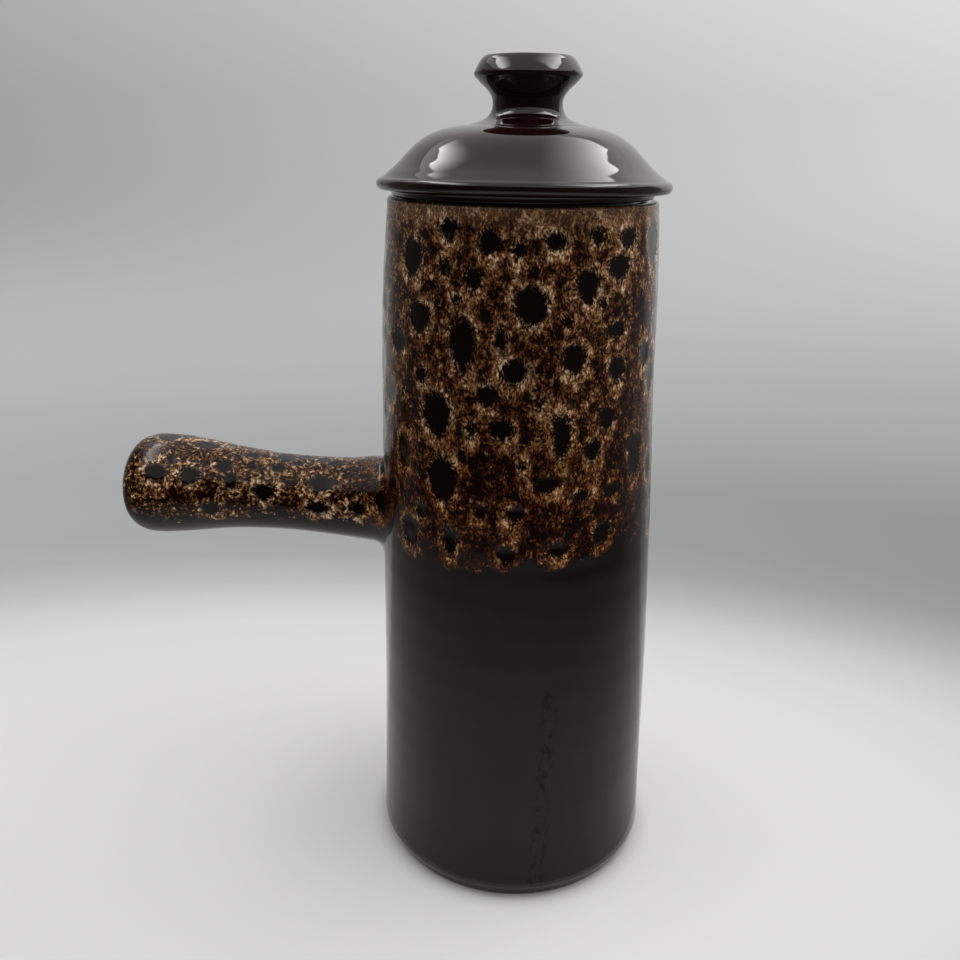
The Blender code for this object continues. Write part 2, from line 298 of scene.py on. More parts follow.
def make_body():
    """The thrown pot, with an oval window behind the spout."""
    obj = rings_to_mesh("glazed_body", turned_rings(body_outline(), 256))
    move_points(obj, lay_wall(points_of(obj)))
    turn = np.linspace(0, math.tau, 48, endpoint=False)
    oval = np.column_stack(
        [WINDOW_HALF_WIDTH * np.cos(turn), 0 * turn, WINDOW_HEIGHT + WINDOW_HALF_HEIGHT * np.sin(turn)]
    )
    bar = [oval + (0, y, 0) for y in WINDOW_CUT]
    ends = [ring.mean(0, keepdims=True) for ring in bar]
    cut_hole(obj, rings_to_mesh("window", [ends[0], *bar, ends[1]]))
    return obj


# ---- the stick handle

HANDLE_KNOTS = [
    (44, 16.5), (53, 15.9), (66, 14.75), (84, 14.2), (104, 15.4), (121, 17.7), (BULB, 18.6),
]
HANDLE_CURVE = np.array(through(HANDLE_KNOTS, 1.0))
HANDLE_SEGMENTS = 112
ROOT = 50.0  # about where the stick meets the wall, from the pot's axis
STRAIGHT_FROM = 62.0  # from here on the stick's rings stand square to it


def handle_radius(distance):
    return np.interp(distance, HANDLE_CURVE[:, 0], HANDLE_CURVE[:, 1])


def handle_centre(distance):
    return HANDLE_HEIGHT + HANDLE_LIFT * smoothstep(49, BULB, distance)


def handle_ring(distance, radius, angles):
    """Points round the stick at a distance from the pot's axis; distance may differ round the ring."""
    distance = np.broadcast_to(distance, angles.shape)
    y = -radius * np.cos(angles)
    z = handle_centre(distance) + radius * np.sin(angles)
    return np.column_stack([-distance, y, z])


def luted_root(angles):
    """The rings where the stick flows into the wall: buried edge, wall, fillet, stick."""
    y_way, z_way = -np.cos(angles), np.sin(angles)
    stick = handle_radius(ROOT)
    spread = 3.6 - 1.5 * np.sin(angles)
    along = 3.8 - 1.6 * np.sin(angles)
    middle = handle_centre(ROOT)

    def on_wall(reach, depth):
        y, z = y_way * reach, middle + z_way * reach
        return np.column_stack([wall_x(y, z) + depth, y, z])

    start, corner = on_wall(stick + spread, 0.0), on_wall(stick, 0.0)
    end_distance = -corner[:, 0] + along
    end = handle_ring(end_distance, handle_radius(end_distance), angles)
    rings = [
        np.array([[wall_x(0.0, middle) + 2.5, 0.0, middle]]),
        on_wall(stick * 0.5, 2.4),
        on_wall(stick + spread, 1.6),
        on_wall(stick + spread + 1.2, 0.45),
    ]
    for t in np.linspace(0, 1, 10):
        rings.append((1 - t) ** 2 * start + 2 * t * (1 - t) * corner + t**2 * end)
    for t in np.linspace(0, 1, 10)[1:]:
        distance = end_distance + (STRAIGHT_FROM - end_distance) * t
        rings.append(handle_ring(distance, handle_radius(distance), angles))
    return rings


def make_handle():
    """The luted root, the waisted stick, its rounded bulb and the vent hole below."""
    angles = np.linspace(0, math.tau, HANDLE_SEGMENTS, endpoint=False)
    rings = luted_root(angles)
    for distance in np.arange(STRAIGHT_FROM + 1, BULB, 1.0):
        rings.append(handle_ring(distance, handle_radius(distance), angles))
    depth, radius = HANDLE_END - BULB, handle_radius(BULB)
    for turn in np.radians(np.linspace(0, 90, 20)[1:-1]):
        distance = BULB + depth * math.sin(turn) ** (2 / BULB_SQUARENESS)
        rings.append(handle_ring(distance, radius * math.cos(turn) ** (2 / BULB_SQUARENESS), angles))
    rings.append(np.array([[-HANDLE_END, 0.0, handle_centre(HANDLE_END)]]))
    obj = rings_to_mesh("glazed_handle", rings)
    obj.data.flip_normals()
    low, high = VENT_CUT
    pin = [(0, low), (VENT_RADIUS, low), (VENT_RADIUS, high), (0, high)]
    cut_hole(obj, rings_to_mesh("vent", turned_rings(pin, 28, (-VENT_FROM_AXIS, 0.0))))
    return obj


# ---- the spout

SPOUT_BOTTOM = SPOUT_LOW.z
SPOUT_TOP = SPOUT_HIGH.z
SPOUT_REACH = SPOUT_HIGH.y - 47.6
SPOUT_HALF_WIDTH = 19.0
SPOUT_WALL = 3.2
LIP_ROUND = 0.9


def beak_height(across, share):
    """How far the spout stands off the wall, at a place across it from -1 to 1 and up it from 0 to 1."""
    return SPOUT_REACH * share**1.25 * np.cos(np.clip(np.abs(across), 0, 1) * math.pi / 2) ** 1.7


def spout_sheet(inner, across, shares):
    """Rows of points over the spout's outer or inner face."""
    rows = []
    for share in shares:
        z = SPOUT_BOTTOM + (SPOUT_TOP - SPOUT_BOTTOM) * share
        half = SPOUT_HALF_WIDTH * (0.2 + 0.8 * share**0.85)
        x = across * half
        stand = beak_height(across, share)
        if inner:
            stand = np.maximum(stand * 0.97 - SPOUT_WALL, -1.6)
        else:
            stand = stand - 0.5 * smoothstep(0.82, 1.0, np.abs(across)) - 0.5 * smoothstep(0.1, 0.0, share)
        sag = LIP_ROUND * (1 - across**2) * smoothstep(0.5, 1.0, share)
        rows.append(np.column_stack([x, wall_y(x, np.full_like(x, z)) + stand, z - sag]))
    return rows


def make_spout():
    """One closed shell: the outer face up to the lip, over the rounded lip, and down the gutter."""
    across = np.linspace(-1, 1, 65)
    shares = np.linspace(0.0, 1.0, 60)
    outer = spout_sheet(False, across, shares)
    inner = spout_sheet(True, across, shares)
    lip = []
    for turn in np.radians(np.linspace(0, 180, 9)[1:-1]):
        share = (1 - math.cos(turn)) / 2
        row = outer[-1] * (1 - share) + inner[-1] * share
        row[:, 2] += LIP_ROUND * math.sin(turn) - LIP_ROUND
        lip.append(row)
    for row in (outer[-1], inner[-1]):
        row[:, 2] -= LIP_ROUND
    sheet = [*outer, *lip, *inner[::-1]]
    columns = list(np.stack(sheet, 1))
    ends = [np.array([columns[0].mean(0)]), np.array([columns[-1].mean(0)])]
    return rings_to_mesh("glazed_spout", [ends[0], *columns, ends[1]])


# ---- the lid, its ring and its knob

LID_SEAT = LID_LOW.z
LID_TOP = LID_HIGH.z
LID_RADIUS = LID_HIGH.x
SEAT_OUTER_RADIUS = 45.6
RING_OUTER_RADIUS = RING_HIGH.x
RING_INNER_RADIUS = 37.8
KNOB_TOP = KNOB_HIGH.z
KNOB_CENTRE = (KNOB_LOW.x + KNOB_HIGH.x) / 2
KNOB_RADIUS = (KNOB_HIGH.x - KNOB_LOW.x) / 2


# The lid's crown, shoulder and flare: radius, and how far below the crown's middle.
CROWN = [
    (6.0, 0.0), (16.0, 0.02), (21.0, 0.25), (25.5, 1.0), (29.6, 2.15), (33.4, 3.9), (37.0, 6.5),
    (40.2, 9.6), (42.9, 12.5), (45.4, 14.9), (47.7, 16.6), (49.5, 17.9),
]
LIP_RADIUS = 2.1
# The knob's skirt and neck: radius, and how far above the crown.
KNOB_NECK = [
    (22.5, -0.75), (20.6, -0.12), (18.6, 0.42), (15.9, 1.35), (13.9, 2.5), (12.6, 4.2),
    (12.0, 6.7), (12.45, 9.2), (14.0, 11.5), (16.3, 13.7), (17.7, 15.2),
]
# The flared edge: how far inside the knob's radius, and how far above the crown.
KNOB_FLARE = [
    (0.55, 15.45), (0.1, 16.1), (0.02, 16.8), (0.35, 17.7), (1.3, 19.6), (2.35, 21.3),
]
# The dished top: how far inside the knob's radius, and how far below its top.
KNOB_CREST = [(2.95, 0.75), (3.6, 0.2), (4.6, 0.0)]


def lid_outline():
    """Half of the lid's section: crown, shoulder, flare, lip, seat and the hollow below."""
    top = through([(radius, LID_TOP - drop) for radius, drop in CROWN], 0.8)
    lip = arc((LID_RADIUS - LIP_RADIUS, LID_TOP - 20.0), LIP_RADIUS, 62, -100, 16)
    under = through(
        [
            (LID_RADIUS - 2.6, LID_TOP - 22.08), (SEAT_OUTER_RADIUS + 0.9, LID_TOP - 22.05),
            (SEAT_OUTER_RADIUS + 0.2, LID_TOP - 22.3), (SEAT_OUTER_RADIUS, LID_TOP - 22.9),
            (SEAT_OUTER_RADIUS, LID_SEAT + 0.5),
        ],
        0.5,
    )
    seat = [(SEAT_OUTER_RADIUS - 0.5, LID_SEAT), (41.0, LID_SEAT), (RING_INNER_RADIUS, LID_SEAT)]
    hollow = through(
        [
            (RING_INNER_RADIUS, LID_SEAT + 0.4), (RING_INNER_RADIUS - 0.6, LID_SEAT + 4),
            (34.5, LID_TOP - 11.8), (29.0, LID_TOP - 7.4), (20.0, LID_TOP - 5.0),
            (8.0, LID_TOP - 4.6),
        ],
        1.5,
    )
    return [(0, LID_TOP), *top, *lip, *under[1:], *seat, *hollow, (0, LID_TOP - 4.6)]


def make_lid():
    """The turned lid, a little off centre, with its lip raised at the front and lower at +X."""
    obj = rings_to_mesh("glazed_lid", turned_rings(lid_outline()[::-1], 224))
    points = points_of(obj)
    angle, radius = polar(points)
    overhang = smoothstep(22, 34, radius) * smoothstep(LID_SEAT + 0.7, LID_SEAT + 1.8, points[:, 2])
    inward = 0.3 * (1 - np.cos(angle)) * smoothstep(SEAT_OUTER_RADIUS, SEAT_OUTER_RADIUS + 3, radius)
    shrink = 1 - inward * overhang / np.maximum(radius, 1)
    points[:, :2] *= shrink[:, None]
    lip = overhang * smoothstep(40, 50, radius)
    points[:, 2] += lip * (1.4 * np.clip(-np.sin(angle), 0, 1) ** 1.5 - 0.22 * (1 + np.cos(angle)))
    move_points(obj, points)
    return obj


def make_ring():
    """The ring that centres the lid in the mouth, trimmed and rounded below."""
    bottom, top = RING_LOW.z, LID_SEAT - 0.02
    outline = [
        *arc((RING_INNER_RADIUS + 0.4, top - 0.4), 0.4, 180, 90, 3),
        *arc((RING_OUTER_RADIUS - 0.4, top - 0.4), 0.4, 90, 0, 3),
        (RING_OUTER_RADIUS - 0.1, (bottom + top) / 2),
        *arc((RING_OUTER_RADIUS - 1.7, bottom + 1.4), 1.4, 0, -90, 6),
        *arc((RING_INNER_RADIUS + 1.2, bottom + 1.2), 1.2, -90, -180, 6),
    ]
    return rings_to_mesh("lid_ring_glazed", turned_rings(outline[::-1], 192), closed=True)


def knob_outline():
    """The knob's side from its skirt on the lid up to its dished top."""
    skirt = through([(radius, LID_TOP + up) for radius, up in KNOB_NECK], 0.6)
    flare = [(KNOB_RADIUS - inset, LID_TOP + up) for inset, up in KNOB_FLARE]
    crest = [(KNOB_RADIUS - inset, KNOB_TOP - drop) for inset, drop in KNOB_CREST]
    edge = through([*flare, *crest], 0.4)
    dish_knots = [(KNOB_RADIUS - 5.6, KNOB_TOP - 0.1), (11.0, KNOB_TOP - 0.8), (7.0, KNOB_TOP - 1.6)]
    dish = through([*dish_knots, (2.0, KNOB_TOP - 2.0)], 0.8)
    under = [(0, LID_TOP - 1.4), (20.0, LID_TOP - 1.4)]
    return [*under, *skirt, *edge, *dish, (0, KNOB_TOP - 2.0)]


def make_knob():
    return rings_to_mesh("glazed_knob", turned_rings(knob_outline(), 144, centre=(KNOB_CENTRE, 0.0)))


# ---- the spots in the dipped glaze

# The larger dark spots on the side that faces -Y: angle round the pot, height, half width, half height.
FACING_SPOTS = [
    (-137, 227, 5.0, 6.6), (-119, 237, 3.3, 3.1), (-102, 233, 3.7, 3.8), (-91, 231, 2.4, 2.6),
    (-77, 234, 3.4, 3.0), (-60, 235, 2.8, 2.8), (-44, 234, 4.0, 3.6), (-120, 225, 2.2, 2.8),
    (-108, 222, 2.9, 3.6), (-49, 225, 4.7, 4.2), (-64, 220, 4.1, 5.7), (-86, 214, 5.4, 6.6),
    (-132, 208, 5.1, 5.3), (-112, 201, 4.7, 8.9), (-146, 198, 4.6, 4.4), (-97, 203, 1.6, 3.5),
    (-69, 197, 4.2, 4.9), (-92, 193, 4.6, 4.0), (-49, 192, 3.7, 4.4), (-50, 205, 4.2, 2.8),
    (-72, 209, 1.7, 1.9), (-57, 214, 1.8, 1.7), (-115, 215, 1.6, 1.7), (-130, 189, 2.6, 3.1),
    (-30, 195, 3.6, 3.9), (-154, 180, 5.2, 4.7), (-123, 177, 5.8, 7.4), (-102, 185, 3.6, 3.6),
    (-82, 183, 1.7, 2.0), (-96, 174, 3.9, 3.6), (-73, 172, 3.2, 7.8), (-53, 176, 3.8, 3.9),
    (-60, 166, 3.0, 3.8), (-36, 161, 4.4, 8.5), (-141, 161, 3.8, 5.8), (-120, 155, 5.6, 8.2),
    (-79, 156, 4.6, 2.8), (-91, 146, 3.0, 2.9), (-104, 146, 2.2, 3.0), (-116, 134, 3.0, 4.8),
    (-137, 133, 4.4, 6.0), (-94, 132, 3.1, 3.2), (-74, 133, 3.9, 2.9), (-65, 151, 3.8, 1.9),
    (-131, 142, 2.6, 3.0), (-88, 162, 1.4, 2.2), (-108, 173, 1.8, 2.8), (-50, 151, 3.2, 2.4),
    (-55, 137, 3.8, 4.3),
]
# The same on the handle: distance from the pot's axis, angle up from its -Y side, half length, half width.
HANDLE_SPOTS = [
    (131, 31, 3.6, 3.0), (119, 30, 2.8, 2.8), (115, 80, 3.5, 2.2), (107, 48, 2.2, 1.9),
    (104, 28, 1.9, 2.6), (92, 17, 3.2, 2.6), (98, 76, 2.4, 1.6), (88, 56, 2.0, 1.8),
    (71, 37, 4.2, 2.7), (72, 1, 3.2, 2.0), (57, 5, 2.6, 1.9), (126, 48, 1.5, 1.5),
    (81, 70, 1.5, 1.4), (67, 75, 1.8, 1.6), (111, -11, 2.6, 2.2),
]
SPOT_TAPER = 0.16  # spots run down a little, so they are wider above their middle
SKIRT_DROP = 3.6  # how far below a spot its pale skirt hangs
FAR = 30.0  # beyond this a spot's distance makes no difference
WELL_BELOW = -40.0  # the height above the glaze's edge that stands for no dipped glaze at all


def facing_spots():
    """Each listed spot's centre and half sizes along X, Y and Z."""
    spots = []
    for degrees, height, half_width, half_height in FACING_SPOTS:
        angle = math.radians(degrees)
        radius = float(wall_radius(height))
        centre = (radius * math.cos(angle), radius * math.sin(angle), height)
        spots.append((centre, (half_width, half_width, half_height)))
    for distance, degrees, half_length, half_width in HANDLE_SPOTS:
        angle = math.radians(degrees)
        radius = float(handle_radius(distance))
        height = float(handle_centre(distance)) + radius * math.sin(angle)
        centre = (-distance, -radius * math.cos(angle), height)
        spots.append((centre, (half_length, half_width, half_width)))
    return spots


def scattered_spots(places, spots, count, sizes, stretch, clear, dice):
    """Adds spots at random places on the surface, each clear of those already there."""
    centres = [np.array(centre) for centre, _ in spots]
    reaches = [max(halves) for _, halves in spots]
    added = []
    for _ in range(count):
        place = places[dice.randrange(len(places))]
        size = dice.uniform(*sizes) * dice.uniform(0.7, 1.0)
        apart = np.linalg.norm(np.array(centres) - place, axis=1) - np.array(reaches)
        if apart.min() < size + clear:
            continue
        tall = size * dice.uniform(*stretch)
        added.append((tuple(place), (size, size, tall)))
        centres.append(place)
        reaches.append(max(size, tall))
    return added


def spot_distance(points, spots, drop=0.0):
    """How far each point lies outside the nearest spot, in millimetres; negative inside one.

    With a drop, the spots count as that much lower, which gives the paler skirt below each.
    """
    nearest = np.full(len(points), FAR)
    for centre, halves in spots:
        centre = np.array(centre) - (0, 0, drop * min(1.0, halves[2] / 4))
        near = np.abs(points - centre).max(1) < FAR
        offset = (points[near] - centre) / halves
        widening = 1 + SPOT_TAPER * np.clip(offset[:, 2], -1, 1)
        across = np.hypot(offset[:, 0], offset[:, 1]) / widening
        reach = (np.hypot(across, offset[:, 2]) - 1) * min(halves)
        nearest[near] = np.minimum(nearest[near], reach)
    return nearest


def dip(obj, glazed, spots, relief):
    """Lays a share (relief) of the dipped glaze's thickness and the spots' dimples on a skin.

    glazed tells which points the glaze may cover. The distances are stored for the material.
    """
    points, normals = points_of(obj), vectors(obj.data.vertex_normals, "vector")
    angle = np.arctan2(points[:, 1], points[:, 0])
    above = np.where(glazed(points), points[:, 2] - dip_height(angle), WELL_BELOW)
    spot = spot_distance(points, spots)
    lift = GLAZE_THICKNESS * smoothstep(-2.5, 3.0, above)
    dimple = DIMPLE_DEPTH * smoothstep(0.9, -2.0, spot) * smoothstep(-2.0, 2.0, above)
    move_points(obj, points + normals * ((lift - dimple) * relief)[:, None])
    store(obj, "dip_mm", above)
    store(obj, "spot_mm", spot)
    store(obj, "skirt_mm", spot_distance(points, spots, SKIRT_DROP))


# ---- node trees


class Nodes:
    """Writes a node tree as expressions. A value may be a number, a tuple or a socket."""

    def __init__(self, tree):
        self.tree = tree

    def node(self, kind, inputs=None, **settings):
        made = self.tree.nodes.new("ShaderNode" + kind)
        for key, value in settings.items():
            setattr(made, key, value)
        for key, value in (inputs or {}).items():
            self.feed(made.inputs[key], value)
        return made

    def feed(self, socket, value):
        if isinstance(value, bpy.types.NodeSocket):
            self.tree.links.new(value, socket)
        else:
            socket.default_value = value

    def maths(self, operation, *values):
        made = self.node("Math", operation=operation)
        for socket, value in zip(made.inputs, values):
            self.feed(socket, value)
        return made.outputs[0]

    def add(self, first, *others):
        for other in others:
            first = self.maths("ADD", first, other)
        return first

    def times(self, first, second):
        return self.maths("MULTIPLY", first, second)

    def weighted(self, start, *terms):
        """start plus each value times its weight."""
        return self.add(start, *(self.times(value, weight) for value, weight in terms))

    def rest(self, share):
        """What is left of 1."""
        return self.maths("SUBTRACT", 1.0, share)

    def step(self, value, low, high, start=0.0, end=1.0, way="SMOOTHSTEP"):
        """start up to low, end from high on, and a smooth change between. low may be above high."""
        inputs = {"Value": value, "From Min": low, "From Max": high, "To Min": start, "To Max": end}
        return self.node("MapRange", inputs, interpolation_type=way).outputs[0]

    def step_line(self, value, low, high):
        """0 at low, 1 at high, in a straight line."""
        return self.step(value, low, high, way="LINEAR")

    def mix(self, factor, low, high, kind="RGBA"):
        return self.node("Mix", {"Factor": factor, "A": low, "B": high}, data_type=kind).outputs["Result"]

    def blend(self, factor, low, high):
        """The same as mix, for plain numbers."""
        return self.mix(factor, low, high, "FLOAT")

    def ramp(self, factor, stops):
        made = self.node("ValToRGB", {"Fac": factor})
        elements = made.color_ramp.elements
        while len(elements) < len(stops):
            elements.new(1.0)
        for element, (place, colour) in zip(elements, stops):
            element.position = place
            element.color = (*colour, 1.0)
        return made.outputs["Color"]

    def vector(self, operation, inputs, output="Vector"):
        return self.node("VectorMath", inputs, operation=operation).outputs[output]

    def moved(self, vector, offset):
        return self.vector("ADD", {0: vector, 1: offset})

    def stretched(self, vector, scales):
        return self.vector("MULTIPLY", {0: vector, 1: scales})

    def scaled(self, vector, scale):
        return self.vector("SCALE", {0: vector, 3: scale})

    def length(self, vector):
        return self.vector("LENGTH", {0: vector}, "Value")

    def part(self, vector, axis):
        return self.node("SeparateXYZ", {"Vector": vector}).outputs[axis]

    def noise(self, vector, scales, detail=2.0, roughness=0.5, output="Fac"):
        where = self.stretched(vector, scales)
        inputs = {"Vector": where, "Scale": 1.0, "Detail": detail, "Roughness": roughness}
        return self.node("TexNoise", inputs).outputs[output]

    def even_noise(self, vector, scales, detail, roughness=0.5):
        """Noise that lies about 0 and not about a half."""
        return self.add(self.noise(vector, scales, detail, roughness), -0.5)

    def where(self):
        """The point on the object, in metres."""
        return self.node("TexCoord").outputs["Object"]

    def place(self):
        """The point on the object, in millimetres."""
        return self.scaled(self.where(), 1 / MM)

    def stored(self, name):
        return self.node("Attribute", attribute_name=name).outputs["Fac"]

    def bump(self, height, deep_mm):
        inputs = {"Height": height, "Distance": deep_mm * MM, "Strength": 1.0}
        return self.node("Bump", inputs).outputs["Normal"]


class Shader(Nodes):
    """A material's node tree, round its Principled BSDF."""

    def __init__(self, name):
        self.material = bpy.data.materials.new(name)
        self.material.use_nodes = True
        super().__init__(self.material.node_tree)
        self.surface = self.tree.nodes["Principled BSDF"]

    def set(self, socket, value):
        self.feed(self.surface.inputs[socket], value)


# ---- glazes

DARK_BROWN = (0.0034, 0.0013, 0.0009)
RED_BROWN = (0.020, 0.0040, 0.0018)
LID_BROWN = (0.0062, 0.0021, 0.0016)
FLECK_BROWN = (0.03, 0.017, 0.010)
EDGE_BROWN = (0.020, 0.010, 0.006)
BAND_BROWN = (0.14, 0.095, 0.066)
BARE_CLAY = (0.30, 0.205, 0.135)
CLAY_ROUGHNESS = 0.75
DARK_IOR = 1.5
DIPPED_IOR = 1.42

# How fine each noise is: its scale per millimetre. Most of the dipped glaze's are drawn out down the wall.
THIN_PATCHES = (0.05, 0.05, 0.035)
FLECKS = (1.1, 1.1, 1.1)
WAVES = (0.07, 0.07, 0.07)
PORES = (0.4, 0.4, 0.4)
DRIPS = (0.3, 0.3, 0.3)
LID_SMEARS = (0.06, 0.06, 0.06)
STREAKS = (1.55, 1.55, 0.90)
HANDLE_GRAIN = (0.68, 0.80, 0.80)
WISPS = (0.62, 0.62, 0.36)
SMUDGES = (0.55, 0.55, 0.30)
TUFTS = (0.52, 0.52, 0.38)
SMALL_SPOTS = (0.29, 0.29, 0.23)
SWAY = (0.28, 0.28, 0.20)
CLOUDS = (0.22, 0.22, 0.17)
SHADES = (0.075, 0.075, 0.06)
SWAY_REACH = (3.0, 3.0, 3.0)

# The dipped glaze's colours, from its thinnest to its palest.
GLAZE_TONES = [
    (0.0, (0.0050, 0.0010, 0.0004)), (0.20, (0.0190, 0.0048, 0.0018)),
    (0.40, (0.062, 0.0215, 0.0070)), (0.60, (0.163, 0.078, 0.032)), (0.80, (0.345, 0.212, 0.112)),
    (1.0, (0.70, 0.53, 0.38)),
]
RUSTIER = (1.02, 0.86, 0.64)


def opaque(colour):
    return (*colour, 1)


def dark_glaze_colour(shader, place, base=DARK_BROWN, thinness=0.6):
    """Near-black brown glaze, redder where it ran thin."""
    thin = shader.step(shader.noise(place, THIN_PATCHES, 3.0, 0.6), 0.50, 0.72)
    fleck = shader.step(shader.noise(place, FLECKS, 1.0), 0.72, 0.80)
    base = shader.mix(shader.times(thin, thinness), opaque(base), opaque(RED_BROWN))
    return shader.mix(shader.times(fleck, 0.25), base, opaque(FLECK_BROWN))


def orange_peel(shader, place):
    """The faint waviness of a fired glaze."""
    return shader.weighted(
        shader.times(shader.noise(place, WAVES, 0.0), 0.9),
        (shader.noise(place, PORES, 0.0), 0.1),
    )


def dark_glaze():
    """The lid's glaze, wiped off its seat."""
    shader = Shader("dark_glaze")
    place = shader.place()
    facing_up = shader.part(shader.node("NewGeometry").outputs["Normal"], "Z")
    seat = shader.times(
        shader.step(facing_up, -0.97, -0.995),
        shader.step(shader.part(place, "Z"), LID_SEAT + 0.35, LID_SEAT + 0.2),
    )
    shader.set("Base Color", shader.mix(seat, dark_glaze_colour(shader, place, LID_BROWN), opaque(BARE_CLAY)))
    smear = shader.step(shader.noise(place, LID_SMEARS, 2.0), 0.45, 0.75, 0.03, 0.06)
    shader.set("Roughness", shader.blend(seat, smear, 0.7))
    shader.set("Normal", shader.bump(orange_peel(shader, place), 0.024))
    shader.set("IOR", DARK_IOR)
    return shader.material


def ring_glaze():
    """The ring below the lid: thin glaze, wiped off its lowest edge."""
    shader = Shader("ring_glaze")
    place = shader.place()
    wiped = shader.add(shader.part(place, "Z"), shader.noise(place, DRIPS), -0.5)
    bare = shader.step(wiped, RING_LOW.z + 1.0, RING_LOW.z + 0.5)
    shader.set("Base Color", shader.mix(bare, dark_glaze_colour(shader, place), opaque(BARE_CLAY)))
    shader.set("Roughness", shader.blend(bare, 0.12, CLAY_ROUGHNESS))
    shader.set("Normal", shader.bump(orange_peel(shader, place), 0.2))
    shader.set("IOR", DARK_IOR)
    return shader.material


def glaze_grain(shader):
    """The noises that the dipped glaze is made of, and the places that matter to it."""
    place = shader.place()
    height = shader.part(place, "Z")
    on_handle = shader.step(shader.part(place, "X"), -52.0, -57.0)
    push = shader.moved(shader.noise(place, SWAY, 1.0, output="Color"), (-0.5, -0.5, -0.5))
    swayed = shader.vector("MULTIPLY_ADD", {0: push, 1: SWAY_REACH, 2: place})
    streaks = shader.noise(swayed, STREAKS, 4.0, 0.66)
    speckle = shader.noise(swayed, HANDLE_GRAIN, 4.0, 0.62)
    ridge = shader.maths("ABSOLUTE", shader.even_noise(swayed, WISPS, 2.0, 0.6))
    cloud = shader.even_noise(place, CLOUDS, 3.0, 0.6)
    band_height = shader.weighted(height, (cloud, 7.0))
    return SimpleNamespace(
        place=place,
        height=height,
        above_edge=shader.stored("dip_mm"),
        on_handle=on_handle,
        rim_band=shader.step(band_height, RIM - RIM_BAND - 4.0, RIM - RIM_BAND + 6),
        swayed=swayed,
        fine=shader.add(shader.blend(on_handle, streaks, speckle), -0.5),
        wisp=shader.step(ridge, 0.075, 0.0),
        tuft=shader.even_noise(swayed, TUFTS, 1.0),
        cloud=cloud,
        broad=shader.even_noise(place, SHADES, 1.0),
    )


def dark_spots(shader, grain):
    """Where the dipped glaze broke open, and the pale feathered edge round each larger spot."""
    ragged = shader.weighted(shader.times(grain.fine, 5.0), (grain.tuft, 1.1), (grain.cloud, 2.4))
    ragged = shader.times(ragged, shader.blend(grain.on_handle, 1.0, 0.5))
    edge = shader.weighted(shader.add(shader.stored("spot_mm"), ragged), (grain.on_handle, -0.5))
    skirt_edge = shader.add(shader.stored("skirt_mm"), ragged)
    large = shader.step(edge, 1.5, -0.7)
    collar = shader.times(shader.step(edge, 3.6, 1.0), 0.7)
    halo = shader.maths("MAXIMUM", collar, shader.step(skirt_edge, 3.8, -1.0))

    cells = shader.node("TexVoronoi", {"Vector": shader.stretched(grain.swayed, SMALL_SPOTS), "Scale": 1.0})
    dice = shader.part(cells.outputs["Color"], "X")
    small_edge = shader.weighted(
        cells.outputs["Distance"],
        (dice, -0.52), (grain.fine, 0.75), (grain.tuft, 0.50), (grain.cloud, 0.40),
    )
    small = shader.times(shader.step(small_edge, 0.24, -0.14), shader.step(halo, 0.95, 0.45))
    small = shader.times(small, shader.step(grain.rim_band, 0.6, 0.1))
    return shader.maths("MAXIMUM", large, shader.times(small, 0.92)), halo


def glaze_tone(shader, grain, halo):
    """How pale the dipped glaze is, as a place in GLAZE_TONES."""
    tone = shader.weighted(
        0.205,
        (halo, 0.33), (grain.wisp, 0.10), (grain.fine, 2.45), (grain.tuft, 0.90),
        (grain.cloud, 1.30), (grain.broad, 0.45), (grain.on_handle, -0.035),
    )
    more_on_handle = (
        (halo, 0.06), (grain.wisp, 0.24), (grain.fine, 0.7), (grain.cloud, -0.80),
        (grain.tuft, -0.30),
    )
    for value, weight in more_on_handle:
        tone = shader.weighted(tone, (shader.times(grain.on_handle, value), weight))
    low_edge = shader.step(grain.above_edge, 60.0, 0.0)
    tone = shader.weighted(tone, (low_edge, shader.blend(grain.on_handle, -0.18, -0.05)))
    return shader.weighted(
        shader.times(shader.rest(shader.times(grain.rim_band, 0.45)), tone),
        (grain.rim_band, 0.335),
        (shader.times(grain.rim_band, grain.fine), 0.7),
    )


def glaze_pattern(shader, grain, tone):
    """The dipped glaze's colour: rustier towards its lower edge, duller in the band under the rim."""
    pattern = shader.ramp(tone, GLAZE_TONES)
    rust = shader.times(
        shader.step(grain.above_edge, 75.0, 5.0, 0.0, 0.85),
        shader.blend(grain.on_handle, 1.0, 0.15),
    )
    pattern = shader.mix(rust, pattern, shader.stretched(pattern, RUSTIER))
    return shader.mix(shader.times(grain.rim_band, 0.18), pattern, opaque(BAND_BROWN))


def smudge_trail(shader, grain):
    """A trail of dull smudges down the lower body's front, leaning a little."""
    aside = shader.weighted(shader.add(shader.part(grain.place, "X"), -9.0), (grain.height, -0.05))
    low = shader.step(grain.height, 90.0, 76.0)
    in_front = shader.step(shader.part(grain.place, "Y"), 0.0, -1.0)
    trail = shader.times(
        shader.step(shader.maths("ABSOLUTE", aside), 4.2, 1.0),
        shader.times(low, in_front),
    )
    return shader.times(trail, shader.step(shader.noise(grain.place, SMUDGES, 3.0, 0.65), 0.48, 0.62))


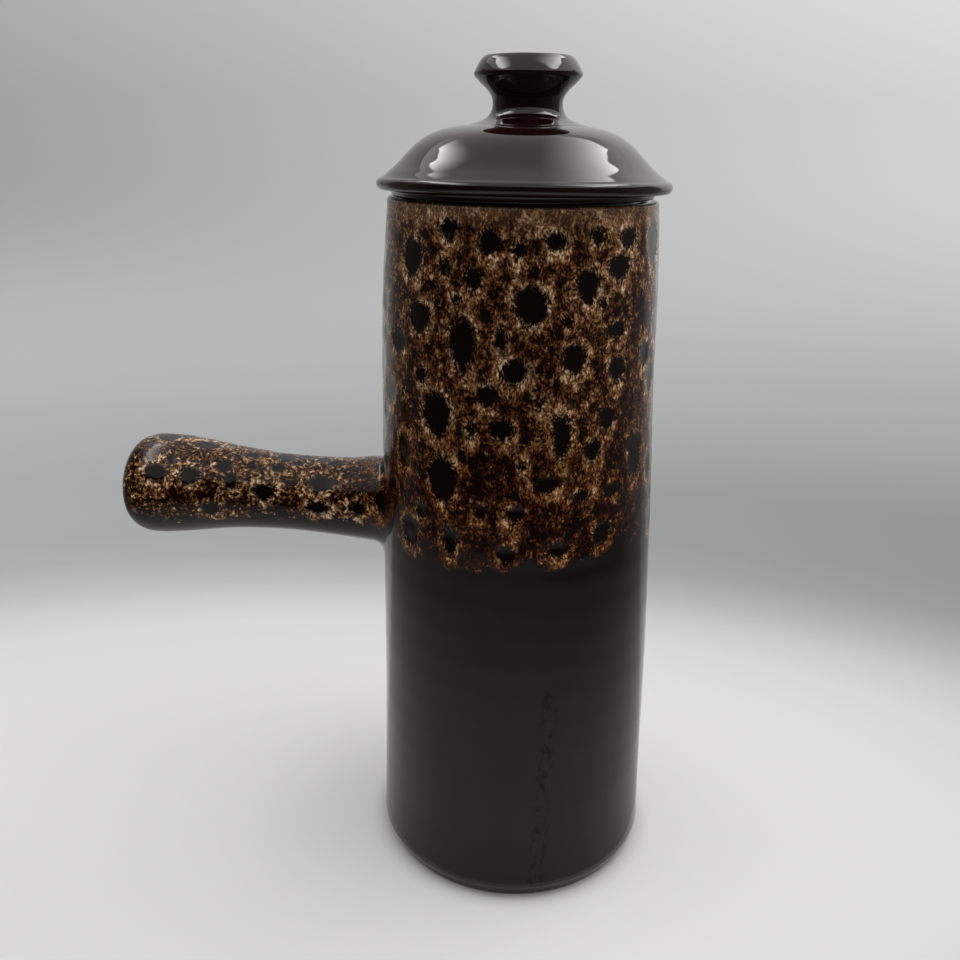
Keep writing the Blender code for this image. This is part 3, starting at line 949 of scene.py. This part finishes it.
def dipped_glaze():
    """The speckled glaze over the dark one, broken into dark spots with pale feathered edges."""
    shader = Shader("dipped_glaze")
    grain = glaze_grain(shader)
    spots, halo = dark_spots(shader, grain)
    tone = glaze_tone(shader, grain, halo)

    hang = shader.weighted(grain.above_edge, (halo, 5.0), (grain.cloud, 14.0), (grain.fine, 11.0))
    covered = shader.times(shader.step(hang, 2.0, 5.0), shader.step(grain.above_edge, -7.0, -4.5))
    speckled = shader.times(covered, shader.rest(spots))
    dark = dark_glaze_colour(shader, grain.place, thinness=0.12)
    colour = shader.mix(speckled, dark, glaze_pattern(shader, grain, tone))
    rim_edge = shader.times(shader.step(grain.height, RIM - 0.9, RIM - 0.3), 0.8)
    colour = shader.mix(rim_edge, colour, opaque(EDGE_BROWN))
    clay = shader.step(shader.weighted(grain.height, (grain.cloud, 0.5)), 0.45, 0.25)
    shader.set("Base Color", shader.mix(clay, colour, opaque(BARE_CLAY)))

    shine = shader.blend(
        speckled,
        shader.blend(grain.on_handle, 0.5, 0.42),
        shader.blend(grain.on_handle, 0.38, 0.28),
    )
    shader.set("Specular IOR Level", shader.blend(smudge_trail(shader, grain), shine, 0.30))
    gloss = shader.blend(speckled, 0.05, shader.step(tone, 0.2, 1.0, 0.08, 0.14))
    shader.set("Roughness", shader.blend(clay, gloss, CLAY_ROUGHNESS))
    relief = shader.weighted(
        shader.times(orange_peel(shader, grain.place), 0.6),
        (shader.times(speckled, tone), 0.14),
    )
    shader.set("Normal", shader.bump(relief, 0.16))
    shader.set("IOR", DIPPED_IOR)
    return shader.material


# ---- the pot is put together

# The scattered spots' range of half widths, and how many places are tried for each, largest first.
BODY_SPOTS = (((4.0, 6.2), 260), ((2.4, 4.2), 700), ((1.3, 2.4), 700))
STICK_SPOTS = (((2.4, 3.6), 60), ((1.3, 2.4), 160))
BEAK_SPOTS = (((1.6, 3.0), 60),)


def behind(points):
    """Body points above the dip that the listed spots leave free."""
    angle, radius = polar(points)
    free = (angle > math.radians(-26)) | (angle < math.radians(-158))
    return free & (radius > 46) & (points[:, 2] > DIP_LINE + 5) & (points[:, 2] < RIM - RIM_BAND - 3)


def stick_back(points):
    return (points[:, 0] < -56) & (points[:, 2] > DIP_LINE + 2) & (points[:, 1] > -2)


def beak_face(points):
    return points[:, 1] > 51


def all_spots(body, handle, spout):
    """The listed spots, and scattered ones where those leave room."""
    dice = random.Random(11)
    spots = facing_spots()
    scatters = (
        (body, behind, BODY_SPOTS, (1.0, 1.7), 1.5),
        (handle, stick_back, STICK_SPOTS, (0.75, 1.05), 1.3),
        (spout, beak_face, BEAK_SPOTS, (1.0, 1.6), 1.2),
    )
    for obj, wanted, rounds, stretch, clear in scatters:
        points = points_of(obj)
        places = points[wanted(points)]
        for sizes, tries in rounds:
            spots += scattered_spots(places, spots, tries, sizes, stretch, clear, dice)
    return spots


def outer_wall(points):
    """Whether each body point lies on the wall's outer face or the rim's outer half."""
    radius = polar(points)[1]
    crest = (points[:, 2] > RIM - 3.6) & (radius > RIM_RADIUS - 2.3)
    return (radius > wall_radius(points[:, 2]) - 1.4) | crest


def everywhere(points):
    return np.ones(len(points), bool)


def glaze(obj, material, body, node):
    obj.data.materials.append(material)
    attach(obj, body)
    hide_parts(node)


def make_pot():
    body, handle, spout = make_body(), make_handle(), make_spout()
    lid, ring, knob = make_lid(), make_ring(), make_knob()
    spots = all_spots(body, handle, spout)
    dip(body, outer_wall, spots, 1.0)
    dip(handle, everywhere, spots, 1.0)
    dip(spout, everywhere, spots, 0.6)

    speckled_material, dark_material, ring_material = dipped_glaze(), dark_glaze(), ring_glaze()
    glaze(body, speckled_material, "pot", "pot_body")
    glaze(handle, speckled_material, "pot", "side_handle")
    glaze(spout, speckled_material, "pot", "pouring_spout")
    glaze(lid, dark_material, "lid", "lid_dome")
    glaze(knob, dark_material, "lid", "lid_knob")
    glaze(ring, ring_material, "lid_ring", "lid_locating_ring")


# ---- floor, light and camera, in metres

# The near floor is an oval about the pot; distances over it count in these half lengths.
FLOOR_LENGTH = 0.38
FLOOR_WIDTH = 0.19
FLOOR_SHIFT = 0.06
FLOOR_REACH = 4.25
FLOOR_DROP = 0.0001
SHEET = (0.42, 0.42, 0.41)
# Painted fill light: the glow the sheet gives off near the pot, which lightens the shadows on it.
SHEET_GLOW = (0.23, 0.23, 0.225)
TENT_HALF_WIDTH = 0.62
TENT_HEIGHT = 0.75
TENT_FRONT = -0.50
TENT_BACK = 0.52
LAMP_FRONT = -0.24
LAMP_BACK = 0.37
LAMP_POWER = 7.5
LAMP_WHITE = (1.0, 0.985, 0.96)
BLACK = (0.0, 0.0, 0.0)

# The far floor's glowing tones, outwards from the pot as a share of four half lengths: painted light that
# falls off away from the pot to the backdrop's grey and rises again further out.
PAINTED_FAR_FLOOR_TONES = [
    (0.195, (0.68, 0.68, 0.665)), (0.230, (0.60, 0.60, 0.59)), (0.257, (0.49, 0.495, 0.49)),
    (0.305, (0.378, 0.383, 0.38)), (0.36, (0.352, 0.357, 0.357)), (0.48, (0.350, 0.355, 0.355)),
    (0.64, (0.395, 0.40, 0.40)), (0.85, (0.44, 0.445, 0.44)),
]
# The tent's tones by the slope of the line of sight, from steeply down to steeply up.
TENT_TONES = [
    (0.03, (0.69, 0.69, 0.675)), (0.085, (0.52, 0.525, 0.52)), (0.14, (0.45, 0.455, 0.455)),
    (0.20, (0.42, 0.425, 0.425)), (0.265, (0.44, 0.445, 0.44)), (0.31, (0.468, 0.473, 0.47)),
    (0.356, (0.495, 0.50, 0.495)), (0.4425, (0.505, 0.51, 0.505)), (0.525, (0.511, 0.516, 0.511)),
    (0.596, (0.574, 0.578, 0.574)), (1.0, (0.95, 0.95, 0.94)),
]
# The painted reflection of the sheet: its tones as the glaze sees them, outwards to the sheet's front edge,
# with painted shade near the pot and towards the front.
PAINTED_SHEET_REFLECTION = [
    (0.15, 0.44), (0.22, 0.55), (0.36, 0.54), (0.48, 0.47), (0.62, 0.37), (0.75, 0.27),
    (0.88, 0.20), (1.0, 0.02),
]
# The dark room's section: out over the floor, up the wall and inwards.
DARK_ROOM = [(radius, 0.0005) for radius in (0.056, 0.13, 0.24, 0.34, 0.80)] + [(0.80, 0.34), (0.78, 0.66)]
DARK_ROOM_HALF_TURN = 128


def stage_mesh(name, verts, faces, shader):
    obj = add_mesh(name, verts, faces)
    obj.data.materials.append(shader.material)
    return obj


def make_floor():
    """The pale sheet. Near the pot it glows a little as painted fill light, with a painted contact shadow
    round the foot; further out its glow paints the backdrop's tone and the light's fall-off, and then it
    fades.
    """
    shader = Shader("pale_floor")
    where = shader.where()
    oval = shader.stretched(shader.moved(where, (FLOOR_SHIFT, 0, 0)), (1 / FLOOR_LENGTH, 1 / FLOOR_WIDTH, 0))
    away = shader.length(oval)
    # Painted light fall-off: the glow darkens away from the pot towards the backdrop's grey.
    tone = shader.ramp(shader.step_line(away, 0.0, 4.0), PAINTED_FAR_FLOOR_TONES)
    # Painted side light: one side of the glow is lighter than the other.
    lean = shader.add(shader.step(away, 0.8, 1.3, -0.05, -0.45), shader.step(away, 1.6, 3.0, 0.0, 0.33))
    side = shader.times(shader.part(where, "X"), lean)
    tone = shader.scaled(tone, shader.add(1.0, side))
    far = shader.step(away, 0.40, 0.85)
    shader.set("Base Color", shader.mix(far, opaque(SHEET), opaque(BLACK)))
    # Painted contact shadow: the fill glow goes black in a ring round the foot.
    beyond_painted_contact_shadow = shader.step(shader.length(shader.stretched(where, (1, 1, 0))), 0.045, 0.057)
    painted_fill_light = shader.mix(beyond_painted_contact_shadow, opaque(BLACK), opaque(SHEET_GLOW))
    shader.set("Emission Color", shader.mix(far, painted_fill_light, tone))
    shader.set("Emission Strength", 1.0)
    shader.set("Roughness", 0.6)
    shader.set("Specular IOR Level", 0.0)
    shader.set("Alpha", shader.step(away, 3.3, 4.2, 1.0, 0.0))
    w, d = FLOOR_REACH * FLOOR_LENGTH, FLOOR_REACH * FLOOR_WIDTH
    verts = [(x, y, -FLOOR_DROP) for x, y in ((-w, -d), (w, -d), (w, d), (-w, d))]
    stage_mesh("floor", verts, [(0, 1, 2, 3)], shader)


def make_world():
    """A photographer's tent: pale floor below a soft line, a grey wall above it, brighter overhead."""
    world = bpy.data.worlds.new("studio")
    bpy.context.scene.world = world
    world.use_nodes = True
    shader = Nodes(world.node_tree)
    way = shader.node("TexCoord").outputs["Generated"]
    x, y, z = (shader.part(way, axis) for axis in "XYZ")
    across = shader.times(shader.times(x, x), 0.35)
    level = shader.maths("SQRT", shader.add(shader.times(y, y), across, 0.0004))
    slope = shader.maths("DIVIDE", z, level)
    walls = shader.ramp(shader.step_line(slope, -0.6, 0.6), TENT_TONES)
    side = shader.weighted(1.0, (x, shader.step(slope, -0.27, -0.03, -0.10, 0.62)))
    front = shader.step(y, -0.2, -0.75, 1.0, 0.72)
    background = world.node_tree.nodes["Background"]
    shader.feed(background.inputs["Color"], shader.scaled(walls, shader.times(side, front)))


def glow(name, strength):
    """A shader that only shines, as strongly as the function strength makes it."""
    shader = Shader(name)
    shader.set("Base Color", opaque(BLACK))
    shader.set("Specular IOR Level", 0.0)
    shader.set("Emission Color", opaque(LAMP_WHITE))
    shader.set("Emission Strength", strength(shader))
    return shader


def lamp_strip(shader, x, y, inner, outer):
    """A strip along the roof's side that brightens outwards, with x counted towards that side."""
    rise = shader.maths("POWER", shader.step_line(x, inner, outer), 1.5)
    front_end = shader.step(y, LAMP_FRONT - 0.03, LAMP_FRONT + 0.03)
    ends = shader.times(front_end, shader.step(y, LAMP_BACK + 0.02, LAMP_BACK - 0.02))
    edge = shader.add(outer, shader.step(y, 0.16, 0.04, 0.0, 0.08))
    inside = shader.step(shader.weighted(x, (edge, -1.0)), 0.012, 0.0)
    return shader.times(shader.times(rise, LAMP_POWER), shader.times(inside, ends))


def roof_strength(shader):
    where = shader.where()
    x, y = shader.part(where, "X"), shader.part(where, "Y")
    wide = shader.step(shader.maths("ABSOLUTE", x), 0.25, 0.5, 0.85, 1.5)
    left = lamp_strip(shader, shader.times(x, -1.0), y, 0.25, 0.43)
    right = lamp_strip(shader, x, y, 0.06, 0.42)
    return shader.add(wide, left, right)


def make_ceiling():
    """The tent's lit roof: even in the middle, with a lamp strip that fades inwards along each side."""
    w, front, back, top = TENT_HALF_WIDTH, TENT_FRONT, TENT_BACK, TENT_HEIGHT
    verts = [(-w, front, top), (-w, back, top), (w, back, top), (w, front, top)]
    stage_mesh("tent_roof", verts, [(0, 1, 2, 3)], glow("roof_light", roof_strength))


def room_strength(shader):
    """The painted reflection's glow: the sheet's tones near the pot, with painted shade close to the foot and
    towards its front edge, and the unlit room's dark tones further out, both fading towards the back.
    """
    where = shader.where()
    away = shader.length(shader.stretched(where, (1, 1, 0)))
    y_way = shader.maths("DIVIDE", shader.part(where, "Y"), away)
    x_way = shader.maths("DIVIDE", shader.part(where, "X"), away)
    room = shader.add(shader.step(y_way, -0.6, 0.6, 0.006, 0.16), shader.step(x_way, 0.1, 0.8, 0.0, 0.05))
    edge = shader.step(x_way, 0.0, 0.9, 0.38, 0.345)
    tones = [(place, (tone, tone, tone)) for place, tone in PAINTED_SHEET_REFLECTION]
    shader.set("Alpha", shader.step(y_way, 0.61, 0.50))
    return shader.maths("MAXIMUM", room, shader.ramp(shader.maths("DIVIDE", away, edge), tones))


def make_dark_front():
    """A painted reflection: a dark glowing sheet standing for what the glaze reflects from in front, the near
    sheet and the unlit room. Only reflections see it.
    """
    turns = np.radians(np.linspace(-90 - DARK_ROOM_HALF_TURN, -90 + DARK_ROOM_HALF_TURN, 65))
    verts = [(r * math.cos(t), r * math.sin(t), z) for t in turns for r, z in DARK_ROOM]
    n = len(DARK_ROOM)
    faces = [
        (i * n + j, i * n + j + 1, (i + 1) * n + j + 1, (i + 1) * n + j)
        for i in range(len(turns) - 1)
        for j in range(n - 1)
    ]
    # Painted reflection and painted shade: a dark glowing sheet that only the glaze's reflections see.
    dark = stage_mesh("dark_room", verts, faces, glow("unlit_room", room_strength))
    dark.visible_camera = False
    dark.visible_diffuse = False
    dark.visible_transmission = False
    dark.visible_shadow = False


def make_camera():
    """The photographer's view: level with the lid, looking down at the pot's middle."""
    distance, height = 0.3401, 0.2664
    down, turn, tilt = (math.radians(angle) for angle in (13.38, 2.40, 0.62))
    camera = bpy.data.objects.new("camera", bpy.data.cameras.new("camera"))
    bpy.context.scene.collection.objects.link(camera)
    aim = Matrix.Rotation(turn, 4, "Z") @ Matrix.Rotation(math.pi / 2 - down, 4, "X")
    stand = Matrix.Translation((0.0, -distance, height))
    camera.matrix_world = stand @ aim @ Matrix.Rotation(tilt, 4, "Z")
    camera.data.sensor_width = 36
    camera.data.lens = 36.11
    camera.data.shift_y = -0.125
    camera.data.clip_start = 0.01
    bpy.context.scene.camera = camera


make_pot()
make_floor()
make_world()
make_ceiling()
make_dark_front()
make_camera()
bpy.context.scene.view_settings.view_transform = "Standard"
